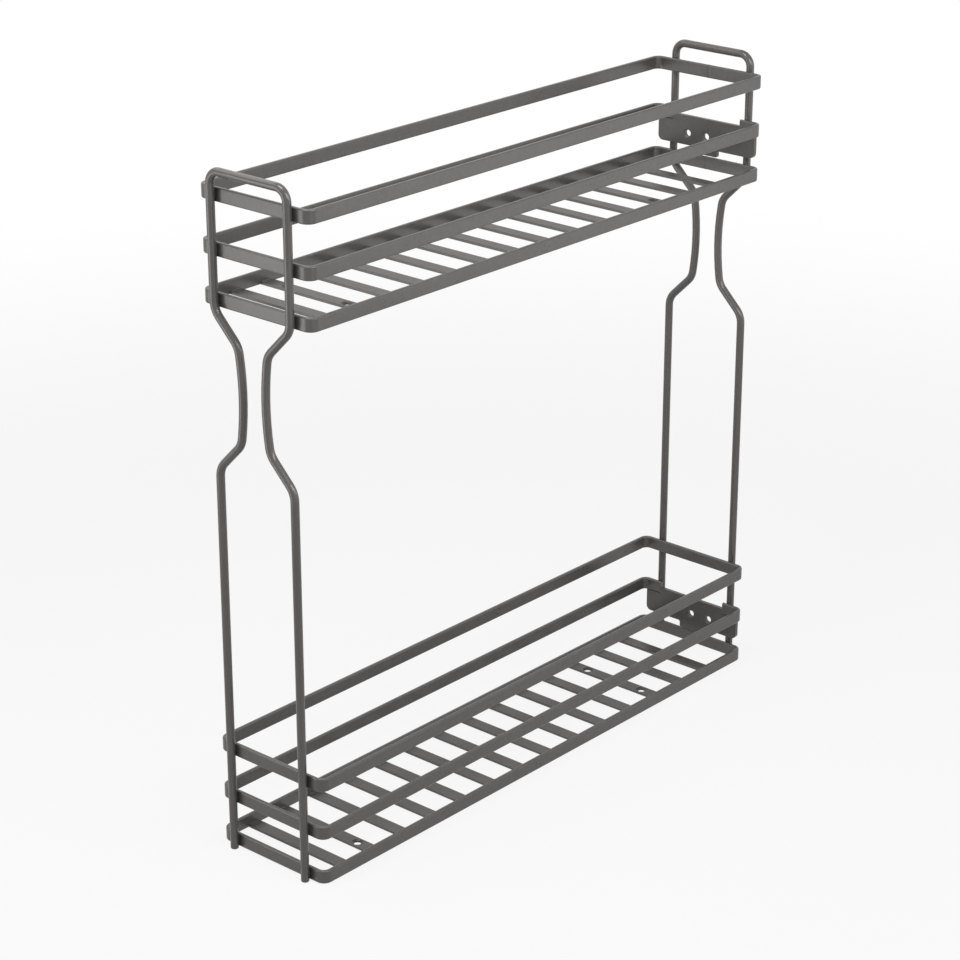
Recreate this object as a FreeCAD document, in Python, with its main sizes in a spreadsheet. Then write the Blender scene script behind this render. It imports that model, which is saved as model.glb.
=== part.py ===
import FreeCAD, Part
import math
import operator
import os

import Sketcher

# Pull-out double basket: two long narrow baskets of flat bar, one above the other, welded to two bent
# wire hoops. Each basket is three rounded flat-bar rings on edge with cross slats in the base ring, and a
# flat plate at the far end that takes the screws of a cabinet front.
#
# Frame, in millimetres: X runs along the baskets from the near end to the far end, Y across them, Z up.
# The origin is on the floor under the middle of the baskets. The hoops' feet stand on the floor.

DRIVING_SIZES = {
    # Baskets, measured over the outside of the flat bar
    "basket_length": 486.0,
    "basket_width": 102.0,
    "corner_radius": 7.0,
    "bar_height": 10.0,
    "bar_thickness": 3.0,
    "bar_edge_radius": 1.1,
    "middle_ring_rise": 34.4,
    "top_ring_rise": 71.6,
    "upper_basket_rise": 402.6,
    "foot_drop": 0.8,
    # Slats in each base ring, and the countersunk screw holes in two of them
    "slat_width": 10.4,
    "slat_thickness": 2.0,
    "slat_edge_radius": 0.3,
    "end_slat_pitch": 28.5,
    "near_slat_gap": 20.7,
    "far_slat_gap": 29.2,
    "base_hole_diameter": 5.5,
    "base_hole_sink": 8.4,
    "base_hole_spacing": 55.0,
    "countersink_angle": 115.0,
    # Hoops, bent from round wire
    "wire_diameter": 6.0,
    "leg_spacing": 70.4,
    "handle_clearance": 8.8,
    "hoop_corner_radius": 9.0,
    "foot_edge_radius": 1.2,
    "neck_spacing": 21.4,
    "neck_bow_radius": 200.0,
    "neck_bend_radius": 15.0,
    "shoulder_angle": 45.0,
    "shoulder_rise": 5.3,
    "neck_foot_drop": 119.0,
    # Bracket plate at the far end of each basket, and the ends of the middle ring beside it
    "plate_thickness": 3.0,
    "plate_side_inset": 5.2,
    "plate_drop": 18.2,
    "plate_rise": 5.0,
    "plate_corner_radius": 4.2,
    "ring_opening": 63.0,
    "tab_width": 21.8,
    "tab_length": 5.1,
    "tab_root_radius": 1.5,
    "tab_corner_radius": 1.2,
    "bracket_hole_diameter": 5.3,
    "bracket_hole_sink": 7.4,
    "bracket_hole_pitch": 17.6,
    "bracket_hole_drop": 8.9,
}

SLATS_PER_BASKET = 14
DRILLED_SLATS = (2, 12)
TOLERANCE = 1e-4

ARITHMETIC = {"+": operator.add, "-": operator.sub, "*": operator.mul, "/": operator.truediv}


class Size:
    """A length or angle with its formula on the sheet of sizes and its present value."""

    def __init__(self, formula, value):
        self.formula = formula
        self.value = value

    def combined(self, sign, other):
        """This size and another size or plain number, joined by an arithmetic sign."""
        if not isinstance(other, Size):
            other = Size(f"({other})", float(other))
        formula = f"({self.formula} {sign} {other.formula})"
        return Size(formula, ARITHMETIC[sign](self.value, other.value))

    def __add__(self, other):
        return self.combined("+", other)

    def __sub__(self, other):
        return self.combined("-", other)

    def __mul__(self, other):
        return self.combined("*", other)

    def __truediv__(self, other):
        return self.combined("/", other)

    def __neg__(self):
        return self.combined("*", -1)


def size(name):
    """One of the driving sizes."""
    return Size(f"Sizes.{name}", DRIVING_SIZES[name])


document = FreeCAD.newDocument("double_basket")
sheet = document.addObject("Spreadsheet::Sheet", "Sizes")
for row_number, (size_name, size_value) in enumerate(DRIVING_SIZES.items(), start=1):
    sheet.set(f"A{row_number}", size_name.replace("_", " "))
    sheet.set(f"B{row_number}", str(size_value))
    sheet.setAlias(f"B{row_number}", size_name)
document.recompute()

# Sizes that several pieces share
ZERO = size("basket_length") * 0
BASKET_LEVELS = {
    "lower": size("foot_drop"),
    "upper": size("foot_drop") + size("upper_basket_rise"),
}
HALF_LENGTH = size("basket_length") / 2
HALF_WIDTH = size("basket_width") / 2
INNER_HALF_LENGTH = HALF_LENGTH - size("bar_thickness")
INNER_HALF_WIDTH = HALF_WIDTH - size("bar_thickness")
HALF_OPENING = size("ring_opening") / 2
WIRE_RADIUS = size("wire_diameter") / 2

# Points and axes of a sketch, as its constraints number them
START, END, CENTRE = 1, 2, 3
SKETCH_ORIGIN = (-1, START)
ACROSS_AXIS, UP_AXIS = -1, -2


def origin_plane(body, role):
    """One of the three planes through a body's own origin."""
    return next(item for item in body.Origin.OriginFeatures if item.Role == role)


def new_body(label, x=ZERO, z=ZERO):
    """An empty body whose label names its file, at a place tied to the sizes."""
    body = document.addObject("PartDesign::Body", label)
    body.Label = label
    body.setExpression("Placement.Base.x", x.formula)
    body.setExpression("Placement.Base.z", z.formula)
    return body


def new_sketch(body, plane_role, name, offset=ZERO):
    """A sketch on one of the body's own origin planes, moved along its normal by an offset."""
    sketch = body.newObject("Sketcher::SketchObject", f"{body.Name}_{name}")
    sketch.AttachmentSupport = [(origin_plane(body, plane_role), "")]
    sketch.MapMode = "FlatFace"
    sketch.setExpression("AttachmentOffset.Base.z", offset.formula)
    return sketch


def bind(sketch, name, amount, kind, *places):
    """Add a sized constraint to a sketch and tie it to the sheet."""
    index = sketch.addConstraint(Sketcher.Constraint(kind, *places, amount.value))
    sketch.renameConstraint(index, name)
    sketch.setExpression(f"Constraints.{name}", amount.formula)


def bind_point(sketch, name, geometry, point, across, up):
    """Hold a point of a sketch at two sized distances from the sketch's origin."""
    bind(sketch, f"{name}_across", across, "DistanceX", *SKETCH_ORIGIN, geometry, point)
    bind(sketch, f"{name}_up", up, "DistanceY", *SKETCH_ORIGIN, geometry, point)


def add_loop(sketch, corners):
    """Closed straight sides through the given corners; returns the number of the first side."""
    first = sketch.GeometryCount
    points = [FreeCAD.Vector(across.value, up.value, 0) for across, up in corners]
    for index, point in enumerate(points):
        following = points[(index + 1) % len(points)]
        sketch.addGeometry(Part.LineSegment(point, following), False)
    for index in range(len(points)):
        following = first + (index + 1) % len(points)
        sketch.addConstraint(
            Sketcher.Constraint("Coincident", first + index, END, following, START)
        )
    return first


def add_rectangle(sketch, name, left, right, bottom, top):
    """A rectangle whose four sides lie at signed distances from the sketch's axes."""
    first = add_loop(sketch, [(left, bottom), (right, bottom), (right, top), (left, top)])
    for side in (first, first + 2):
        sketch.addConstraint(Sketcher.Constraint("Horizontal", side))
        sketch.addConstraint(Sketcher.Constraint("Vertical", side + 1))
    bind_point(sketch, f"{name}_low", first, START, left, bottom)
    bind_point(sketch, f"{name}_high", first + 2, START, right, top)


def add_polygon(sketch, name, corners):
    """A closed outline held at every corner."""
    first = add_loop(sketch, corners)
    for index, (across, up) in enumerate(corners):
        bind_point(sketch, f"{name}_{index}", first + index, START, across, up)


def add_circle(sketch, name, across, up, diameter):
    """A circle held at its centre and by its diameter."""
    centre = FreeCAD.Vector(across.value, up.value, 0)
    circle = Part.Circle(centre, FreeCAD.Vector(0, 0, 1), diameter.value / 2)
    index = sketch.addGeometry(circle, False)
    bind(sketch, f"{name}_diameter", diameter, "Diameter", index)
    bind_point(sketch, name, index, CENTRE, across, up)


def add_pad(body, sketch, length):
    """Raise a sketch into a solid along its normal."""
    pad = body.newObject("PartDesign::Pad", f"{sketch.Name}_pad")
    pad.Profile = sketch
    pad.setExpression("Length", length.formula)
    return pad


def add_through_pocket(body, sketch):
    """Cut a sketch's outline through the whole body, along its normal."""
    document.recompute()
    volume_before = body.Shape.Volume
    pocket = body.newObject("PartDesign::Pocket", f"{sketch.Name}_pocket")
    pocket.Profile = sketch
    pocket.Type = "ThroughAll"
    pocket.Reversed = True
    document.recompute()
    if body.Shape.Volume > volume_before - TOLERANCE:
        raise RuntimeError(f"{body.Label}: {sketch.Name} cut nothing")
    return pocket


def add_fillet(body, base, name, radius, wanted):
    """Round those edges of a feature for which wanted(edge) is true."""
    document.recompute()
    edges = base.Shape.Edges
    names = [f"Edge{number}" for number, edge in enumerate(edges, start=1) if wanted(edge)]
    if not names:
        raise RuntimeError(f"{body.Label}: no edge found for {name}")
    fillet = body.newObject("PartDesign::Fillet", f"{body.Name}_{name}")
    fillet.Base = (base, names)
    fillet.setExpression("Radius", radius.formula)
    return fillet


def add_countersunk_holes(body, sketch, diameter, sink_diameter, reverse=False):
    """Drill every circle of a sketch through the body, countersunk where the sketch lies."""
    document.recompute()
    volume_before = body.Shape.Volume
    hole = body.newObject("PartDesign::Hole", f"{sketch.Name}_holes")
    hole.Profile = sketch
    hole.DepthType = "ThroughAll"
    hole.HoleCutType = "Countersink"
    hole.HoleCutCustomValues = True
    hole.setExpression("Diameter", diameter.formula)
    hole.setExpression("HoleCutDiameter", sink_diameter.formula)
    hole.setExpression("HoleCutCountersinkAngle", size("countersink_angle").formula)
    hole.Reversed = reverse
    document.recompute()
    if body.Shape.Volume > volume_before - TOLERANCE:
        raise RuntimeError(f"{body.Label}: {sketch.Name} drilled nothing")


def is_near(value, *targets):
    """True for a value at one of the targets."""
    return any(abs(value - target) < TOLERANCE for target in targets)


def runs_along(edge, axis):
    """True for a straight edge along the axis named X, Y or Z."""
    return is_near(getattr(edge.BoundBox, f"{axis}Length"), edge.Length)


def is_level_at(edge, *heights):
    """True for an edge that lies flat at one of the heights."""
    return is_near(edge.BoundBox.ZLength, 0.0) and is_near(edge.BoundBox.ZMin, *heights)


def make_ring(label, level, open_ended=False):
    """One flat-bar ring on edge: a rounded rectangle whose bar has rounded edges.

    The middle rings are open at the far end, where their two ends meet the bracket plate's strip.
    """
    body = new_body(label, z=level)
    outline = new_sketch(body, "XY_Plane", "outline")
    add_rectangle(outline, "outer", -HALF_LENGTH, HALF_LENGTH, -HALF_WIDTH, HALF_WIDTH)
    add_pad(body, outline, size("bar_height"))

    inside = new_sketch(body, "XY_Plane", "inside")
    add_rectangle(
        inside, "inner", -INNER_HALF_LENGTH, INNER_HALF_LENGTH, -INNER_HALF_WIDTH, INNER_HALF_WIDTH
    )
    rounded = add_through_pocket(body, inside)

    inner_corner_radius = size("corner_radius") - size("bar_thickness")
    for name, radius, reach in (
        ("outer_bends", size("corner_radius"), HALF_LENGTH.value),
        ("inner_bends", inner_corner_radius, INNER_HALF_LENGTH.value),
    ):
        rounded = add_fillet(
            body,
            rounded,
            name,
            radius,
            lambda edge, reach=reach: runs_along(edge, "Z") and is_near(abs(edge.CenterOfMass.x), reach),
        )
    bar_height = size("bar_height").value
    add_fillet(
        body, rounded, "bar_edges", size("bar_edge_radius"),
        lambda edge: is_level_at(edge, 0.0, bar_height),
    )

    if open_ended:
        gap = new_sketch(body, "XY_Plane", "gap")
        add_rectangle(
            gap,
            "gap",
            INNER_HALF_LENGTH - size("bar_thickness"),
            HALF_LENGTH + size("bar_thickness"),
            -HALF_OPENING,
            HALF_OPENING,
        )
        add_through_pocket(body, gap)
    return body


def slat_position(number):
    """Where a slat's centre line crosses X.

    Number 1 is at the near end, at a pitch of its own. The others share the rest of the length evenly.
    """
    first = size("near_slat_gap") + size("slat_width") / 2 - INNER_HALF_LENGTH
    last = INNER_HALF_LENGTH - size("far_slat_gap") - size("slat_width") / 2
    second = first + size("end_slat_pitch")
    pitch = (last - second) / (SLATS_PER_BASKET - 2)
    if number == 1:
        return first
    return second + pitch * (number - 2)


def make_slat(label, number, level):
    """One flat cross slat, butted between the long bars. Two slats of a basket have screw holes."""
    body = new_body(label, x=slat_position(number), z=level)
    half_slat = size("slat_width") / 2
    outline = new_sketch(body, "XY_Plane", "outline")
    add_rectangle(outline, "strip", -half_slat, half_slat, -INNER_HALF_WIDTH, INNER_HALF_WIDTH)
    strip = add_pad(body, outline, size("slat_thickness"))
    thickness = size("slat_thickness").value
    add_fillet(
        body, strip, "soft_edges", size("slat_edge_radius"),
        lambda edge: runs_along(edge, "Y") and is_level_at(edge, 0.0, thickness),
    )
    if number in DRILLED_SLATS:
        centres = new_sketch(body, "XY_Plane", "centres", offset=size("slat_thickness"))
        reach = size("base_hole_spacing") / 2
        add_circle(centres, "front", ZERO, -reach, size("base_hole_diameter"))
        add_circle(centres, "back", ZERO, reach, size("base_hole_diameter"))
        add_countersunk_holes(body, centres, size("base_hole_diameter"), size("base_hole_sink"))
    return body


def make_bracket(label, level):
    """The flat plate in the far end of a basket, between and below the middle ring's two ends.

    Its own frame has X zero on its inner face and Z zero at the ring's lower edge. Its outer face is
    flush with the ring's, its top strip lies between the ring's ends, and its tab hangs just clear of
    the base ring.
    """
    thickness = size("plate_thickness")
    body = new_body(label, x=HALF_LENGTH - thickness, z=level)
    half_plate = HALF_WIDTH - size("plate_side_inset")
    half_tab = size("tab_width") / 2
    plate_foot = -size("plate_drop")
    tab_foot = plate_foot - size("tab_length")
    right_side = [
        (half_tab, tab_foot),
        (half_tab, plate_foot),
        (half_plate, plate_foot),
        (half_plate, ZERO),
        (HALF_OPENING, ZERO),
        (HALF_OPENING, size("plate_rise")),
    ]
    left_side = [(-across, up) for across, up in reversed(right_side)]
    outline = new_sketch(body, "YZ_Plane", "outline")
    add_polygon(outline, "plate", right_side + left_side)
    rounded = add_pad(body, outline, thickness)

    for name, radius, reach, height in (
        ("corners", size("plate_corner_radius"), half_plate, plate_foot),
        ("tab_roots", size("tab_root_radius"), half_tab, plate_foot),
        ("tab_corners", size("tab_corner_radius"), half_tab, tab_foot),
    ):
        rounded = add_fillet(
            body,
            rounded,
            name,
            radius,
            lambda edge, reach=reach.value, height=height.value: runs_along(edge, "X")
            and is_near(abs(edge.CenterOfMass.y), reach)
            and is_near(edge.CenterOfMass.z, height),
        )

    centres = new_sketch(body, "YZ_Plane", "centres")
    pitch = size("bracket_hole_pitch")
    for name, across in (("front", -pitch), ("middle", ZERO), ("back", pitch)):
        add_circle(centres, name, across, -size("bracket_hole_drop"), size("bracket_hole_diameter"))
    add_countersunk_holes(
        body, centres, size("bracket_hole_diameter"), size("bracket_hole_sink"), reverse=True
    )
    return body


def hoop_levels():
    """Heights on a hoop: the wire's centre in the handle, the neck's two ends and its middle."""
    upper_base = BASKET_LEVELS["upper"]
    ring_top = upper_base + size("top_ring_rise") + size("bar_height")
    top = ring_top + size("handle_clearance") + WIRE_RADIUS
    shoulder = upper_base + size("shoulder_rise")
    neck_foot = upper_base - size("neck_foot_drop")
    return top, shoulder, neck_foot, (shoulder + neck_foot) / 2


def rough_arc(centre, radius, start, end):
    """An arc for the solver to settle, counter-clockwise between the directions of two points."""
    angles = sorted(math.atan2(point.y - centre.y, point.x - centre.x) for point in (start, end))
    if angles[1] - angles[0] > math.pi:
        angles = [angles[1], angles[0] + 2 * math.pi]
    circle = Part.Circle(centre, FreeCAD.Vector(0, 0, 1), radius)
    return Part.ArcOfCircle(circle, *angles)


def half_hoop_outline():
    """Rough lines and arcs of one leg, from the middle of the handle down to the foot."""
    top, shoulder, neck_foot, neck_middle = (level.value for level in hoop_levels())
    leg = size("leg_spacing").value / 2
    neck = size("neck_spacing").value / 2
    bend = size("neck_bend_radius").value
    corner = size("hoop_corner_radius").value
    bow = size("neck_bow_radius").value
    slope = math.radians(size("shoulder_angle").value)

    def point(across, up):
        return FreeCAD.Vector(across, up, 0)

    def mirrored(vector):
        return point(vector.x, 2 * neck_middle - vector.y)

    outward = point(math.cos(slope), -math.sin(slope))
    inward_down = point(-math.sin(slope), -math.cos(slope))
    bend_centre = point(leg - bend, shoulder)
    bend_end = bend_centre + outward * bend
    slant_end = bend_end + inward_down * (leg - neck - bend)
    hollow_centre = slant_end + outward * bend
    bow_centre = point(neck + bow, neck_middle)
    bow_start = bow_centre + (hollow_centre - bow_centre).normalize() * bow
    corner_centre = point(leg - corner, top - corner)
    return [
        Part.LineSegment(point(0, top), point(leg - corner, top)),
        rough_arc(corner_centre, corner, point(leg - corner, top), point(leg, top - corner)),
        Part.LineSegment(point(leg, top - corner), point(leg, shoulder)),
        rough_arc(bend_centre, bend, point(leg, shoulder), bend_end),
        Part.LineSegment(bend_end, slant_end),
        rough_arc(hollow_centre, bend, slant_end, bow_start),
        rough_arc(bow_centre, bow, bow_start, mirrored(bow_start)),
        rough_arc(mirrored(hollow_centre), bend, mirrored(bow_start), mirrored(slant_end)),
        Part.LineSegment(mirrored(slant_end), mirrored(bend_end)),
        rough_arc(mirrored(bend_centre), bend, mirrored(bend_end), point(leg, neck_foot)),
        Part.LineSegment(point(leg, neck_foot), point(leg, 0)),
    ]


def join_tangent(sketch, first, second):
    """Join two pieces of a path end to end without a kink, at the two ends that lie closest."""
    pairs = [
        ((sketch.getPoint(first, here) - sketch.getPoint(second, there)).Length, here, there)
        for here in (START, END)
        for there in (START, END)
    ]
    _, here, there = min(pairs)
    sketch.addConstraint(Sketcher.Constraint("Tangent", first, here, second, there))


def sketch_half_hoop(body):
    """The wire's centre line in one leg, held by tangent joins and by sizes."""
    top, shoulder, neck_foot, neck_middle = hoop_levels()
    sketch = new_sketch(body, "YZ_Plane", "centre_line")
    pieces = half_hoop_outline()
    for piece in pieces:
        sketch.addGeometry(piece, False)
    for index in range(len(pieces) - 1):
        join_tangent(sketch, index, index + 1)
    handle, corner, upper_leg, bend_in, slant_in, hollow_in = range(6)
    bow, hollow_out, slant_out, bend_out, lower_leg = range(6, len(pieces))

    sketch.addConstraint(Sketcher.Constraint("Horizontal", handle))
    sketch.addConstraint(Sketcher.Constraint("Vertical", upper_leg))
    sketch.addConstraint(Sketcher.Constraint("Vertical", lower_leg))
    sketch.addConstraint(Sketcher.Constraint("PointOnObject", handle, START, UP_AXIS))
    sketch.addConstraint(Sketcher.Constraint("PointOnObject", lower_leg, END, ACROSS_AXIS))

    neck_bend = size("neck_bend_radius")
    bow_reach = size("neck_spacing") / 2 + size("neck_bow_radius")
    slope = size("shoulder_angle")
    swing = Size(f"{slope.formula} * 1 deg", math.radians(slope.value))
    leg_reach = size("leg_spacing") / 2
    bind(sketch, "corner", size("hoop_corner_radius"), "Radius", corner)
    bind(sketch, "bend_in", neck_bend, "Radius", bend_in)
    bind(sketch, "hollow_in", neck_bend, "Radius", hollow_in)
    bind(sketch, "bow", size("neck_bow_radius"), "Radius", bow)
    bind(sketch, "hollow_out", neck_bend, "Radius", hollow_out)
    bind(sketch, "bend_out", neck_bend, "Radius", bend_out)
    bind(sketch, "upper_reach", leg_reach, "DistanceX", *SKETCH_ORIGIN, upper_leg, END)
    bind(sketch, "lower_reach", leg_reach, "DistanceX", *SKETCH_ORIGIN, lower_leg, END)
    bind(sketch, "handle_up", top, "DistanceY", *SKETCH_ORIGIN, handle, START)
    bind(sketch, "shoulder_up", shoulder, "DistanceY", *SKETCH_ORIGIN, bend_in, CENTRE)
    bind(sketch, "neck_foot_up", neck_foot, "DistanceY", *SKETCH_ORIGIN, bend_out, CENTRE)
    bind_point(sketch, "bow_centre", bow, CENTRE, bow_reach, neck_middle)
    bind(sketch, "slant_in", swing, "Angle", slant_in, START, upper_leg, START)
    bind(sketch, "slant_out", swing, "Angle", lower_leg, START, slant_out, START)
    return sketch


def make_hoop(label, side):
    """One bent wire hoop against the ends of both baskets: a handle above, two feet below.

    The side is -1 for the near end and 1 for the far end.
    """
    body = new_body(label, x=(HALF_LENGTH + WIRE_RADIUS) * side)
    centre_line = sketch_half_hoop(body)
    section = new_sketch(body, "XZ_Plane", "section")
    add_circle(section, "wire", ZERO, hoop_levels()[0], size("wire_diameter"))
    document.recompute()
    leg = body.newObject("PartDesign::AdditivePipe", f"{body.Name}_leg")
    leg.Profile = section
    path_edges = [f"Edge{number}" for number in range(1, centre_line.GeometryCount + 1)]
    leg.Spine = (centre_line, path_edges)
    document.recompute()
    hoop = body.newObject("PartDesign::Mirrored", f"{body.Name}_legs")
    hoop.Originals = [leg]
    hoop.MirrorPlane = (origin_plane(body, "XZ_Plane"), [""])
    body.Tip = hoop
    add_fillet(
        body, hoop, "foot_edges", size("foot_edge_radius"), lambda edge: is_level_at(edge, 0.0)
    )
    return body


def make_basket(name, level):
    """All pieces of one basket."""
    middle_level = level + size("middle_ring_rise")
    pieces = [
        make_ring(f"{name}_base_ring", level),
        make_ring(f"{name}_middle_ring", middle_level, open_ended=True),
        make_ring(f"{name}_top_ring", level + size("top_ring_rise")),
        make_bracket(f"{name}_front_bracket", middle_level),
    ]
    for number in range(1, SLATS_PER_BASKET + 1):
        pieces.append(make_slat(f"{name}_slat_{number:02d}", number, level))
    return pieces


def check_and_export(bodies):
    """Stop on a failed feature or a bad solid, then write one file for each piece."""
    document.recompute()
    for item in document.Objects:
        if "Invalid" in item.State or "Error" in item.State:
            raise RuntimeError(f"{item.Label} failed: {item.State}")
    for body in bodies:
        shape = body.Shape
        if shape.isNull() or not shape.isValid() or len(shape.Solids) != 1:
            raise RuntimeError(f"{body.Label}: not one valid solid")
    os.makedirs("parts", exist_ok=True)
    for body in bodies:
        body.Shape.exportStep(f"parts/{body.Label}.step")
        print(f"{body.Label}: volume {body.Shape.Volume:.1f} mm3")


all_pieces = []
for basket_name, basket_level in BASKET_LEVELS.items():
    all_pieces += make_basket(basket_name, basket_level)
all_pieces.append(make_hoop("near_hoop", -1))
all_pieces.append(make_hoop("far_hoop", 1))
check_and_export(all_pieces)
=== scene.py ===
"""Looks of the pull-out double basket: powder coat, welds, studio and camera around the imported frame."""

from __future__ import annotations

import logging
import math
import random
from dataclasses import dataclass, field
from enum import Enum
from typing import Sequence

import bmesh
import bpy
from mathutils import Matrix, Vector

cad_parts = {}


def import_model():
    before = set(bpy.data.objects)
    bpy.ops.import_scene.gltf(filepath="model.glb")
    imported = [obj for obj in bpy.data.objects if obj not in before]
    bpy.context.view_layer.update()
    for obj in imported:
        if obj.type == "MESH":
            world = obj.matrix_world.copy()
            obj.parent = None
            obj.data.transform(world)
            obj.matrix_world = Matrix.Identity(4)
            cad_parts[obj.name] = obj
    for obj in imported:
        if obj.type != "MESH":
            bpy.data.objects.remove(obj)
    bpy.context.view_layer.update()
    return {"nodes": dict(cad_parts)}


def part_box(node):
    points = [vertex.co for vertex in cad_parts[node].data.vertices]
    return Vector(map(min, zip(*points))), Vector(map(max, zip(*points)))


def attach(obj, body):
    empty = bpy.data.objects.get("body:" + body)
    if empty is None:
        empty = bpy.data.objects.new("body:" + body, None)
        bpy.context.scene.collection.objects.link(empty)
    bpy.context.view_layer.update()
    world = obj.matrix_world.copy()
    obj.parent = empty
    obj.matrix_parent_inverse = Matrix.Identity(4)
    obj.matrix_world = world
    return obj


LOG = logging.getLogger("double_basket")

MM = 0.001
BODY = "root"

Number = float | int
Colour = tuple[float, float, float]
Point = tuple[float, float, float]

WHITE: Colour = (1.0, 1.0, 1.0)


class Axis(Enum):
    """Direction that a weld bead follows, as the upright bead's turns about X and Y."""

    X = (0.0, math.pi / 2)
    Y = (-math.pi / 2, 0.0)
    Z = (0.0, 0.0)

    def turn(self) -> Matrix:
        """The turn that lays an upright bead along the axis."""
        about_x, about_y = self.value
        return Matrix.Rotation(about_y, 4, "Y") @ Matrix.Rotation(about_x, 4, "X")


class End(Enum):
    """End of the frame. The near one has the lower X."""

    NEAR = "near"
    FAR = "far"


def opaque(colour: Colour) -> tuple[float, ...]:
    """A colour with full alpha, as the sockets of the plain shaders take it."""
    return (*colour, 1.0)


# Shader maths


class Signal:
    """A shader socket that grows Math nodes when it is used in an expression."""

    MIDDLE = 0.5

    def __init__(self, graph: Graph, socket: bpy.types.NodeSocket) -> None:
        """Wrap an output socket of a graph."""
        self.graph = graph
        self.socket = socket

    def _join(self, operation: str, first: Signal | Number, second: Signal | Number) -> Signal:
        """Add one Math node with two values or links."""
        return self.graph.add("ShaderNodeMath", {"operation": operation}, {0: first, 1: second})

    def __add__(self, other: Signal | Number) -> Signal:
        """Sum with another signal or number."""
        return self._join("ADD", self, other)

    def __radd__(self, other: Number) -> Signal:
        """Sum with a number on the left."""
        return self._join("ADD", other, self)

    def __sub__(self, other: Signal | Number) -> Signal:
        """Difference from another signal or number."""
        return self._join("SUBTRACT", self, other)

    def __rsub__(self, other: Number) -> Signal:
        """Difference of a number on the left and this signal."""
        return self._join("SUBTRACT", other, self)

    def __mul__(self, other: Signal | Number) -> Signal:
        """Product with another signal or number."""
        return self._join("MULTIPLY", self, other)

    def __rmul__(self, other: Number) -> Signal:
        """Product with a number on the left."""
        return self._join("MULTIPLY", other, self)

    def swing(self, depth: float) -> Signal:
        """A pattern from 0 to 1, turned into one that goes so far below 0 and above it."""
        return (self - self.MIDDLE) * (2 * depth)

    def size(self) -> Signal:
        """The value without its sign."""
        return self.graph.add("ShaderNodeMath", {"operation": "ABSOLUTE"}, {0: self})

    def steps(self, low: float, high: float) -> Signal:
        """Smooth step from 0 at the low value to 1 at the high value."""
        settings = {"interpolation_type": "SMOOTHSTEP"}
        return self.graph.add("ShaderNodeMapRange", settings, {0: self, 1: low, 2: high})


class Graph:
    """The node tree of one material or of the world."""

    def __init__(self, tree: bpy.types.NodeTree) -> None:
        """Empty a node tree and take it over."""
        self.tree = tree
        tree.nodes.clear()

    def add(
        self,
        kind: str,
        settings: dict[str, object] | None = None,
        inputs: dict[str | int, object] | None = None,
        output: str | int = 0,
    ) -> Signal:
        """Add a node.

        Args:
            kind: Blender's name of the node type.
            settings: Properties of the node, set before its sockets.
            inputs: Values or signals by socket name or number.
            output: The output socket that the signal stands for.

        Returns:
            The signal of the chosen output.
        """
        node = self.tree.nodes.new(kind)
        for name, value in (settings or {}).items():
            setattr(node, name, value)
        for name, value in (inputs or {}).items():
            if isinstance(value, Signal):
                self.tree.links.new(value.socket, node.inputs[name])
            else:
                node.inputs[name].default_value = value
        outputs = node.outputs
        return Signal(self, outputs[output] if outputs else None)

    def place(self) -> Signal:
        """Object coordinates, which are metres in the part's own frame."""
        return self.add("ShaderNodeTexCoord", output="Object")

    def part(self, place: Signal, axis: str) -> Signal:
        """One coordinate of a place."""
        return self.add("ShaderNodeSeparateXYZ", None, {"Vector": place}, axis)

    def noise(self, place: Signal, size: float, detail: float = 2.0, roughness: float = 0.5) -> Signal:
        """Noise from 0 to 1, with its size from crest to crest in millimetres."""
        values = {"Vector": place, "Scale": 1 / (size * MM), "Detail": detail, "Roughness": roughness}
        return self.add("ShaderNodeTexNoise", {"normalize": True}, values)

    def tint(self, colour: Colour, brightness: Signal) -> Signal:
        """A colour times a grey signal, through Vector Math so that it keeps its hue."""
        return self.add("ShaderNodeVectorMath", {"operation": "SCALE"}, {0: colour, "Scale": brightness})


# Finishes


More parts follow.
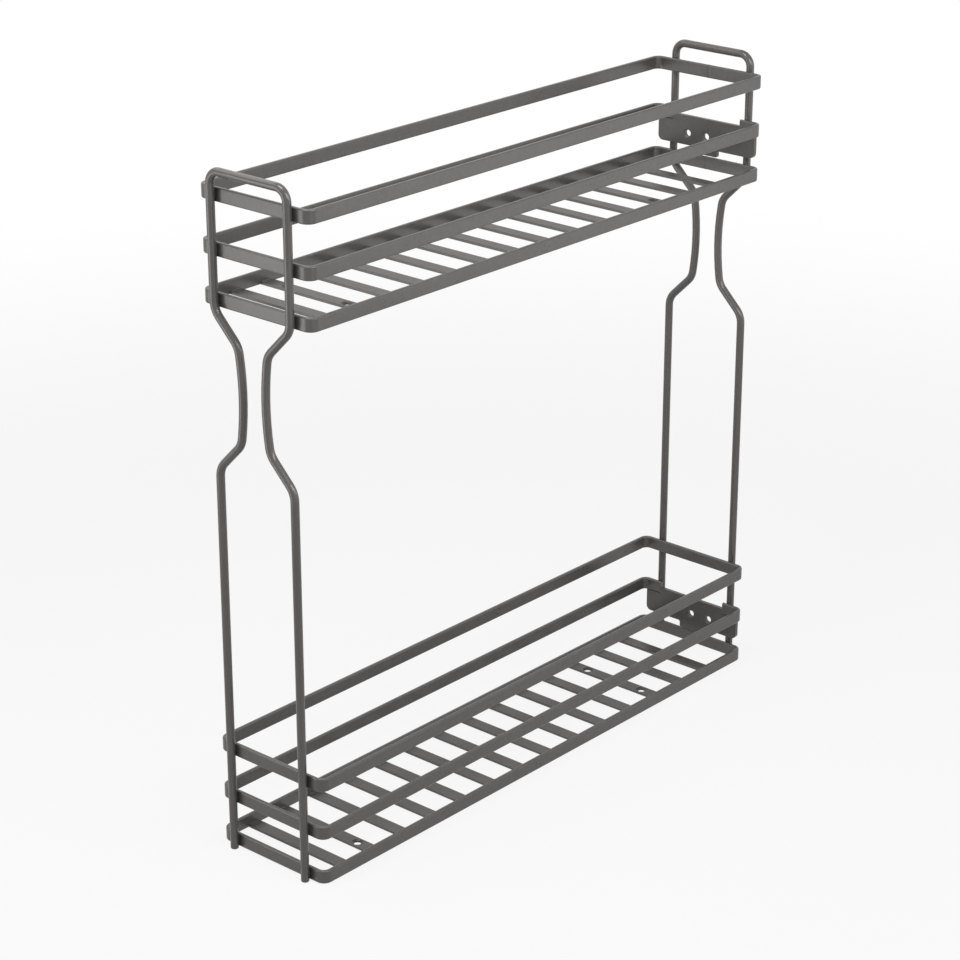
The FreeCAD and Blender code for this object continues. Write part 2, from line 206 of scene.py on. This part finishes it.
@dataclass(frozen=True)
class PowderCoat:
    """Satin powder coat on steel: warm grey with faint mottling, a fine speckle and an orange-peel surface.

    Sizes of the pattern are in millimetres from crest to crest. Heights are in millimetres too.
    """

    name: str = "bar_powder_coat"
    colour: Colour = (0.125, 0.117, 0.115)
    metal: float = 0.22
    roughness: float = 0.29
    specular: float = 0.42
    cloud_size: float = 34.0
    cloud_depth: float = 0.10
    cloud_gloss: float = 0.10
    mottle_size: float = 5.5
    mottle_depth: float = 0.11
    speckle_size: float = 1.4
    speckle_depth: float = 0.17
    peel_size: float = 1.5
    peel_height: float = 0.010
    grain_size: float = 0.32
    grain_height: float = 0.002
    fine_roughness: float = 0.6

    def material(self) -> bpy.types.Material:
        """Build the coat.

        Returns:
            A material that reads Object coordinates only.
        """
        made = bpy.data.materials.new(self.name)
        made.use_nodes = True
        graph = Graph(made.node_tree)
        place = graph.place()
        clouds = graph.noise(place, self.cloud_size, detail=3.0)
        mottle = graph.noise(place, self.mottle_size)
        peel = graph.noise(place, self.peel_size, detail=1.0)
        grain = graph.noise(place, self.grain_size, roughness=self.fine_roughness)
        speckle = graph.noise(place, self.speckle_size, roughness=self.fine_roughness)

        shade = (
            self._base_shade(graph, place)
            + clouds.swing(self.cloud_depth)
            + mottle.swing(self.mottle_depth)
            + speckle.swing(self.speckle_depth)
            + grain.swing(self.speckle_depth / 2)
        )
        unevenness = clouds.swing(self.cloud_gloss) + speckle.swing(self.speckle_depth / 2)
        gloss = self.roughness * (1.0 + unevenness)
        relief = peel * self.peel_height + grain * self.grain_height
        normal = graph.add("ShaderNodeBump", None, {"Strength": 1.0, "Distance": MM, "Height": relief})
        shader = graph.add(
            "ShaderNodeBsdfPrincipled",
            None,
            {
                "Base Color": graph.tint(self.colour, shade),
                "Metallic": self.metal,
                "Roughness": gloss,
                "Specular IOR Level": self.specular,
                "Normal": normal,
            },
        )
        graph.add("ShaderNodeOutputMaterial", None, {"Surface": shader})
        return made

    def _base_shade(self, graph: Graph, place: Signal) -> Signal | Number:
        """Brightness of the coat before its patterns."""
        return 1.0


@dataclass(frozen=True)
class SlatCoat(PowderCoat):
    """The coat on the slats, duller than on the bars."""

    name: str = "slat_powder_coat"
    roughness: float = 0.34
    peel_size: float = 1.8


@dataclass(frozen=True)
class CountersinkShadeSlatCoat(SlatCoat):
    """The coat of a drilled slat, with painted shade: its colour is darker inside the countersinks of its
    screw holes.

    Both drilled slats share it. In metres, it has the X midway between them, how far each of them lies from
    there, and how far each hole lies from the frame's middle plane.
    """

    name: str = "drilled_slat_painted_shade_coat"
    midway: float = -22.6 * MM
    slat_from_midway: float = 163.0 * MM
    hole_from_middle: float = 27.5 * MM
    countersink_radius: float = 4.25 * MM
    shadow_depth: float = 0.5
    shadow_start: float = 0.9

    def _base_shade(self, graph: Graph, place: Signal) -> Signal | Number:
        """1 on the face of the slat and less inside the countersinks, where it paints in their shade."""
        along = graph.part(place, "X") - self.midway
        off_x = along.size() - self.slat_from_midway
        off_y = graph.part(place, "Y").size() - self.hole_from_middle
        rim = self.countersink_radius**2
        outside = (off_x * off_x + off_y * off_y).steps(self.shadow_start * rim, rim)
        # Painted shade: the colour falls to (1 - shadow_depth) inside each countersink.
        return (1.0 - self.shadow_depth) + outside * self.shadow_depth


@dataclass(frozen=True)
class PlateCoat(PowderCoat):
    """The coat on the bracket plates, with a broader peel and a colour a shade darker than the bars', which
    paints in the shade on the far end's inner side.
    """

    name: str = "plate_powder_coat"
    # Darker than the bars' colour: painted shade on the far end's inner side.
    colour: Colour = (0.108, 0.101, 0.099)
    peel_size: float = 2.1
    peel_height: float = 0.012


@dataclass(frozen=True)
class WireCoat(PowderCoat):
    """The coat on the round wire, which runs smoother and glossier there."""

    name: str = "wire_powder_coat"
    roughness: float = 0.22
    mottle_depth: float = 0.05
    speckle_depth: float = 0.04
    peel_size: float = 2.6
    peel_height: float = 0.004
    grain_height: float = 0.0


@dataclass(frozen=True)
class WeldCoat(PowderCoat):
    """The coat over the weld metal, duller and with a closer peel."""

    name: str = "weld_powder_coat"
    roughness: float = 0.34
    peel_size: float = 0.8


@dataclass(frozen=True)
class Coats:
    """The finished materials of the frame: one powder coat, which lies differently on each kind of stock,
    with painted shade on the plates and in the drilled slats' countersinks.
    """

    bar: bpy.types.Material
    slat: bpy.types.Material
    # Coat of the drilled slats, with painted shade in their countersinks.
    drilled_slat: bpy.types.Material
    plate: bpy.types.Material
    wire: bpy.types.Material
    weld: bpy.types.Material

    @classmethod
    def mix(cls) -> Coats:
        """Build all the materials."""
        return cls(
            bar=PowderCoat().material(),
            slat=SlatCoat().material(),
            drilled_slat=CountersinkShadeSlatCoat().material(),
            plate=PlateCoat().material(),
            wire=WireCoat().material(),
            weld=WeldCoat().material(),
        )


def coat_node(node: bpy.types.Object, material: bpy.types.Material) -> None:
    """Put one material on a CAD node, in place of those it came with."""
    node.data.materials.clear()
    node.data.materials.append(material)


# Studio


@dataclass(frozen=True)
class WhiteStudio:
    """Floor and background: white to the eye and in reflections, plain pale to the light on the object."""

    floor_name: str = "pale_floor"
    floor_colour: Colour = (0.80, 0.80, 0.80)
    bounce_colour: Colour = (0.50, 0.50, 0.50)
    floor_half_size: float = 14.0
    shadow_share: float = 0.13
    shadow_reach: tuple[float, float] = (0.55, 1.60)
    sky_strength: float = 0.04

    def _seen(self, graph: Graph) -> Signal:
        """1 for the rays that show the background: from the camera, in gloss and through glass."""
        kinds = ("Is Camera Ray", "Is Glossy Ray", "Is Transmission Ray")
        camera, glossy, through = (graph.add("ShaderNodeLightPath", output=kind) for kind in kinds)
        most = {"operation": "MAXIMUM"}
        either = graph.add("ShaderNodeMath", most, {0: camera, 1: glossy})
        return graph.add("ShaderNodeMath", most, {0: either, 1: through})

    def sky(self) -> None:
        """Give the scene its world."""
        world = bpy.data.worlds.new("white_room")
        bpy.context.scene.world = world
        world.use_nodes = True
        graph = Graph(world.node_tree)
        seen = self._seen(graph)
        strength = self.sky_strength + seen * (1.0 - self.sky_strength)
        background = graph.add("ShaderNodeBackground", None, {"Color": opaque(WHITE), "Strength": strength})
        graph.add("ShaderNodeOutputWorld", None, {"Surface": background})

    def floor(self) -> bpy.types.Object:
        """Lay the floor, which fades to plain white away from the object.

        Returns:
            The floor's object, staged.
        """
        shape = bmesh.new()
        bmesh.ops.create_grid(shape, x_segments=1, y_segments=1, size=self.floor_half_size)
        mesh = bpy.data.meshes.new(self.floor_name)
        shape.to_mesh(mesh)
        shape.free()
        floor = bpy.data.objects.new(self.floor_name, mesh)
        bpy.context.scene.collection.objects.link(floor)
        mesh.materials.append(self._floor_material())
        return floor

    def _floor_material(self) -> bpy.types.Material:
        """White paper that shows a soft shadow near the object and glows white further out.

        The light that it throws back on the object is that of a greyer sheet.
        """
        made = bpy.data.materials.new(self.floor_name)
        made.use_nodes = True
        graph = Graph(made.node_tree)
        place = graph.place()
        distance = graph.add("ShaderNodeVectorMath", {"operation": "LENGTH"}, {0: place}, "Value")
        near, far = self.shadow_reach
        glow = (1.0 - self.shadow_share) + distance.steps(near, far) * self.shadow_share
        paper = graph.add("ShaderNodeBsdfDiffuse", None, {"Color": opaque(self.floor_colour)})
        white = graph.add("ShaderNodeEmission", None, {"Color": opaque(WHITE), "Strength": 1.0})
        mixed = graph.add("ShaderNodeMixShader", None, {0: glow, 1: paper, 2: white})
        dull = graph.add("ShaderNodeBsdfDiffuse", None, {"Color": opaque(self.bounce_colour)})
        final = graph.add("ShaderNodeMixShader", None, {0: self._seen(graph), 1: dull, 2: mixed})
        graph.add("ShaderNodeOutputMaterial", None, {"Surface": final})
        return made


@dataclass(frozen=True)
class SoftBox:
    """A rectangular white studio lamp aimed at a point, with its places and sizes in metres."""

    name: str
    place: Point
    aim: Point
    width: float
    height: float
    watts: float

    def switch_on(self) -> None:
        """Add the lamp to the scene."""
        lamp = bpy.data.lights.new(self.name, "AREA")
        lamp.shape = "RECTANGLE"
        lamp.size = self.width
        lamp.size_y = self.height
        lamp.energy = self.watts
        holder = bpy.data.objects.new(self.name, lamp)
        holder.visible_camera = False
        holder.location = self.place
        sight = Vector(self.aim) - Vector(self.place)
        holder.rotation_euler = sight.to_track_quat("-Z", "Y").to_euler()
        bpy.context.scene.collection.objects.link(holder)


@dataclass(frozen=True)
class ProductCamera:
    """A long lens, level across, at the photograph's viewing angle.

    Heading and dip are in degrees, and the lens and the sensor's width are in millimetres.
    """

    place: Point = (-1.40445, -1.21768, 0.96245)
    heading: float = 41.382
    dip: float = 21.850
    lens: float = 102.01
    sensor_width: float = 36.0

    def set_up(self) -> None:
        """Make the camera and give it to the scene."""
        data = bpy.data.cameras.new("product_camera")
        data.sensor_width = self.sensor_width
        data.lens = self.lens
        camera = bpy.data.objects.new("product_camera", data)
        camera.location = self.place
        turn, fall = math.radians(self.heading), math.radians(self.dip)
        sight = Vector((math.cos(turn) * math.cos(fall), math.sin(turn) * math.cos(fall), -math.sin(fall)))
        camera.rotation_euler = sight.to_track_quat("-Z", "Y").to_euler()
        bpy.context.scene.collection.objects.link(camera)
        bpy.context.scene.camera = camera


@dataclass(frozen=True)
class Studio:
    """Everything around the object: white room, lamps and camera."""

    white: WhiteStudio = WhiteStudio()
    camera: ProductCamera = ProductCamera()
    lamps: tuple[SoftBox, ...] = (
        SoftBox("corner_strip", (-0.84, 0.37, 0.30), (-0.24, 0.0, 0.40), 0.42, 0.56, 1.55),
        SoftBox("edge_strip", (-0.76, 0.47, 0.30), (-0.24, 0.0, 0.40), 0.30, 0.56, 0.35),
        SoftBox("front_strip", (-0.47, -0.95, 0.30), (-0.20, 0.0, 0.40), 0.25, 0.55, 0.3),
        SoftBox("side_strip", (0.75, -0.85, 0.32), (0.0, 0.0, 0.40), 0.7, 0.6, 1.1),
        SoftBox("corner_softbox", (-0.70, 0.10, 1.18), (-0.20, 0.0, 0.43), 0.5, 0.5, 0.85),
        SoftBox("front_softbox", (-0.30, -0.75, 0.95), (-0.12, 0.0, 0.43), 0.6, 0.4, 3.5),
        SoftBox("side_softbox", (0.20, -1.10, 0.85), (0.05, 0.0, 0.30), 0.8, 0.5, 3.6),
        SoftBox("back_softbox", (0.35, 1.00, 1.45), (0.0, 0.0, 0.43), 0.9, 0.6, 2.0),
        SoftBox("top_softbox", (-0.45, 0.0, 1.30), (-0.25, 0.0, 0.45), 0.4, 0.4, 4.0),
        SoftBox("handle_softbox", (-0.45, 0.66, 1.12), (-0.22, 0.0, 0.48), 0.6, 0.4, 1.2),
    )

    def build(self) -> None:
        """Set up the room, the lamps, the camera and the plain view transform."""
        self.white.sky()
        self.white.floor()
        for lamp in self.lamps:
            lamp.switch_on()
        self.camera.set_up()
        bpy.context.scene.view_settings.view_transform = "Standard"
        LOG.info("studio: %d lamps", len(self.lamps))


# Pieces of weld metal


@dataclass(frozen=True)
class WeldBead:
    """A small run of weld metal: a rounded stick with a slightly uneven surface.

    Spread widens it across its length. Bluntness and roundness shape its ends: the higher the one and the
    lower the other, the squarer they are.
    """

    centre: Point
    along: Axis
    half_length: float
    radius: float
    spread: float = 1.0
    ripple: float = 0.08
    waves: float = 5.0
    least_thickness: float = 0.88
    most_thickness: float = 1.1
    bluntness: int = 5
    roundness: float = 0.25
    sides: int = 10
    rows: int = 12
    pole: float = 1e-6

    def add_to(self, mesh: bmesh.types.BMesh, chance: random.Random) -> None:
        """Add the bead to a mesh.

        Args:
            mesh: The mesh that collects the beads, in metres.
            chance: Seeded source of the bead's small differences.
        """
        sphere = bmesh.ops.create_uvsphere(mesh, u_segments=self.sides, v_segments=self.rows, radius=1.0)
        start = chance.uniform(0.0, math.tau)
        thick = self.radius * chance.uniform(self.least_thickness, self.most_thickness)
        for vertex in sphere["verts"]:
            reach = abs(vertex.co.z)
            ring = math.sqrt(max(0.0, 1.0 - reach**2))
            blunt = (1.0 - min(1.0, reach) ** self.bluntness) ** self.roundness
            swell = 1.0 + self.ripple * math.sin(start + self.waves * math.pi * vertex.co.z)
            growth = blunt * swell / ring if ring > self.pole else 0.0
            vertex.co.x *= growth * thick
            vertex.co.y *= growth * thick * self.spread
            vertex.co.z *= self.half_length
        laid = Matrix.Translation(Vector(self.centre)) @ self.along.turn()
        bmesh.ops.transform(mesh, matrix=laid, verts=sphere["verts"])


class WeldedPiece:
    """A piece of the visual model made of many small beads."""

    def __init__(self, name: str, seed: int) -> None:
        """Start an empty piece with its own seeded chance."""
        self.name = name
        self.mesh = bmesh.new()
        self.chance = random.Random(seed)

    def add(self, beads: Sequence[WeldBead]) -> None:
        """Add beads to the piece."""
        for bead in beads:
            bead.add_to(self.mesh, self.chance)

    def finish(self, material: bpy.types.Material) -> bpy.types.Object:
        """Turn the beads into one smooth object that rides on the frame.

        Args:
            material: The coat over the welds.

        Returns:
            The finished object.
        """
        for face in self.mesh.faces:
            face.smooth = True
        bmesh.ops.recalc_face_normals(self.mesh, faces=self.mesh.faces)
        data = bpy.data.meshes.new(self.name)
        self.mesh.to_mesh(data)
        self.mesh.free()
        data.materials.append(material)
        piece = bpy.data.objects.new(self.name, data)
        bpy.context.scene.collection.objects.link(piece)
        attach(piece, BODY)
        LOG.info("%s: %d faces", self.name, len(data.polygons))
        return piece


# Sub-assemblies


@dataclass
class Basket:
    """One basket: three rings, fourteen slats and a bracket plate, with their finishes and welds."""

    name: str
    seed: int
    rings: tuple[str, ...] = ("base_ring", "middle_ring", "top_ring")
    slat_count: int = 14
    drilled: tuple[int, int] = (2, 12)
    slat_bead_margin: float = 0.7 * MM
    slat_bead_inset: float = 0.1 * MM
    top_bead_radius: float = 0.5 * MM
    top_bead_rise: float = 0.02 * MM
    root_bead_radius: float = 0.65 * MM
    root_bead_rise: float = 0.60 * MM
    groove_bead_radius: float = 0.5 * MM
    groove_bead_depth: float = 0.45 * MM
    groove_bead_rise: float = 0.25 * MM
    groove_bead_share: float = 0.8
    strip_edge_radius: float = 0.25 * MM
    seam_width: float = 1.3 * MM
    seam_rise: float = 0.07 * MM
    seam_edge_segments: int = 4
    bar_thickness: float = 3.0 * MM
    bar_edge_radius: float = 1.1 * MM
    half_opening: float = 31.5 * MM

    def slats(self) -> list[str]:
        """Node names of the slats."""
        return [f"{self.name}_slat_{number:02d}" for number in range(1, self.slat_count + 1)]

    def dress(self, nodes: dict[str, bpy.types.Object], coats: Coats) -> None:
        """Give every CAD node of the basket its coat.

        Args:
            nodes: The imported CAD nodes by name.
            coats: The finishes of the frame.
        """
        for ring in self.rings:
            coat_node(nodes[f"{self.name}_{ring}"], coats.bar)
        for number, slat in enumerate(self.slats(), start=1):
            coat_node(nodes[slat], coats.drilled_slat if number in self.drilled else coats.slat)
        coat_node(nodes[f"{self.name}_front_bracket"], coats.plate)

    def build(self, coats: Coats) -> None:
        """Make the basket's weld beads and seams.

        Args:
            coats: The finishes of the frame.
        """
        self._slat_welds(coats.weld)
        self._bracket_welds(coats.weld)
        self._ring_seams(coats.weld)

    def _slat_welds(self, coat: bpy.types.Material) -> None:
        """Beads along both ends of each slat, above it and in the groove under it."""
        welds = WeldedPiece(f"{self.name}_slat_welds", self.seed)
        for slat in self.slats():
            low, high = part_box(slat)
            middle = (low.x + high.x) / 2
            reach = (high.x - low.x) / 2 - self.slat_bead_margin
            for y, inwards in ((low.y, 1.0), (high.y, -1.0)):
                inset = inwards * self.slat_bead_inset
                top = (middle, y + inset, high.z + self.top_bead_rise)
                root = (middle, y - inset, low.z + self.root_bead_rise)
                welds.add([
                    WeldBead(top, Axis.X, reach, self.top_bead_radius),
                    WeldBead(root, Axis.X, reach, self.root_bead_radius),
                ])
        welds.finish(coat)

    def _bracket_welds(self, coat: bpy.types.Material) -> None:
        """Dressed joints between the plate's strip and the ring's ends, and beads in the outer groove."""
        welds = WeldedPiece(f"{self.name}_bracket_welds", self.seed + 1)
        plate_low, plate_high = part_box(f"{self.name}_front_bracket")
        ring_low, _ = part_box(f"{self.name}_middle_ring")
        half_seam = self.seam_width / 2
        wing_reach = (plate_high.y - self.half_opening) / 2
        wing_middle = self.half_opening + wing_reach
        for side in (-1.0, 1.0):
            joint = side * self.half_opening
            low = Vector((plate_low.x, joint - half_seam, ring_low.z))
            high = Vector((plate_high.x, joint + half_seam, plate_high.z))
            self._add_seam(welds, low, high, self.strip_edge_radius)
            groove_x = plate_high.x - self.groove_bead_depth
            groove_z = ring_low.z + self.groove_bead_rise
            groove = (groove_x, side * wing_middle, groove_z)
            reach = wing_reach * self.groove_bead_share
            welds.add([WeldBead(groove, Axis.Y, reach, self.groove_bead_radius)])
        welds.finish(coat)

    def _ring_seams(self, coat: bpy.types.Material) -> None:
        """The dressed butt joint in the far end bar of each closed ring."""
        seams = WeldedPiece(f"{self.name}_ring_seams", self.seed + 2)
        half_seam = self.seam_width / 2
        for ring in ("base_ring", "top_ring"):
            ring_low, ring_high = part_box(f"{self.name}_{ring}")
            low = Vector((ring_high.x - self.bar_thickness, -half_seam, ring_low.z))
            high = Vector((ring_high.x, half_seam, ring_high.z))
            self._add_seam(seams, low, high, self.bar_edge_radius)
        seams.finish(coat)

    def _add_seam(self, seams: WeldedPiece, low: Vector, high: Vector, edge_radius: float) -> None:
        """Add a thin slice of bar, a hair proud of the bar, with its long edges rounded.

        Args:
            seams: The piece that collects the slices.
            low: Lowest corner of the bar's section in the slice.
            high: Highest corner of the bar's section in the slice.
            edge_radius: Radius of the bar's edges.
        """
        proud = Vector((self.seam_rise, 0.0, self.seam_rise))
        low, high = low - proud, high + proud
        block = bmesh.ops.create_cube(seams.mesh, size=1.0)["verts"]
        bmesh.ops.scale(seams.mesh, vec=high - low, verts=block)
        bmesh.ops.translate(seams.mesh, vec=(low + high) / 2, verts=block)
        edges = dict.fromkeys(edge for vertex in block for edge in vertex.link_edges)
        long_edges = [
            edge for edge in edges if abs(edge.verts[0].co.y - edge.verts[1].co.y) > self.seam_width / 2
        ]
        bmesh.ops.bevel(
            seams.mesh,
            geom=long_edges,
            offset=edge_radius + self.seam_rise,
            offset_type="OFFSET",
            affect="EDGES",
            segments=self.seam_edge_segments,
            profile=0.5,
            material=-1,
        )


@dataclass
class Hoop:
    """One bent wire hoop with the weld nuggets between its legs and the rings' end bars."""

    end: End
    seed: int
    leg_spacing: float = 70.4 * MM
    nugget_half_height: float = 4.4 * MM
    nugget_radius: float = 0.55 * MM
    nugget_spread: float = 2.6
    nugget_ripple: float = 0.05
    nugget_waves: float = 3.0

    @property
    def name(self) -> str:
        """Node name of the hoop."""
        return f"{self.end.value}_hoop"

    def dress(self, nodes: dict[str, bpy.types.Object], coats: Coats) -> None:
        """Give the hoop its coat."""
        coat_node(nodes[self.name], coats.wire)

    def build(self, baskets: Sequence[Basket], coats: Coats) -> None:
        """Make the nuggets at each crossing of a leg and a ring.

        Args:
            baskets: The baskets that the hoop is welded to.
            coats: The finishes of the frame.
        """
        welds = WeldedPiece(f"{self.name}_welds", self.seed)
        for basket in baskets:
            for ring in basket.rings:
                low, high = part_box(f"{basket.name}_{ring}")
                face = high.x if self.end is End.FAR else low.x
                for side in (-1.0, 1.0):
                    centre = (face, side * self.leg_spacing / 2, (low.z + high.z) / 2)
                    welds.add([self._nugget(centre)])
        welds.finish(coats.weld)

    def _nugget(self, centre: Point) -> WeldBead:
        """The broad upright bead where a leg lies on an end bar."""
        return WeldBead(
            centre,
            Axis.Z,
            self.nugget_half_height,
            self.nugget_radius,
            spread=self.nugget_spread,
            ripple=self.nugget_ripple,
            waves=self.nugget_waves,
        )


@dataclass
class DoubleBasket:
    """The whole frame."""

    baskets: tuple[Basket, ...] = field(
        default_factory=lambda: (Basket("lower", seed=3), Basket("upper", seed=7))
    )
    hoops: tuple[Hoop, ...] = field(
        default_factory=lambda: (Hoop(End.NEAR, seed=21), Hoop(End.FAR, seed=22))
    )

    def build(self, nodes: dict[str, bpy.types.Object]) -> None:
        """Dress the CAD nodes and add the welds.

        Args:
            nodes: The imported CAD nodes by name.
        """
        coats = Coats.mix()
        for basket in self.baskets:
            basket.dress(nodes, coats)
            basket.build(coats)
            LOG.info("%s basket dressed", basket.name)
        for hoop in self.hoops:
            hoop.dress(nodes, coats)
            hoop.build(self.baskets, coats)
            LOG.info("%s dressed", hoop.name)


def main() -> None:
    """Load the frame and build the looks around it."""
    logging.basicConfig(level=logging.INFO, format="%(name)s: %(message)s")
    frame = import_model()
    DoubleBasket().build(frame["nodes"])
    Studio().build()


if __name__ == "__main__":
    main()
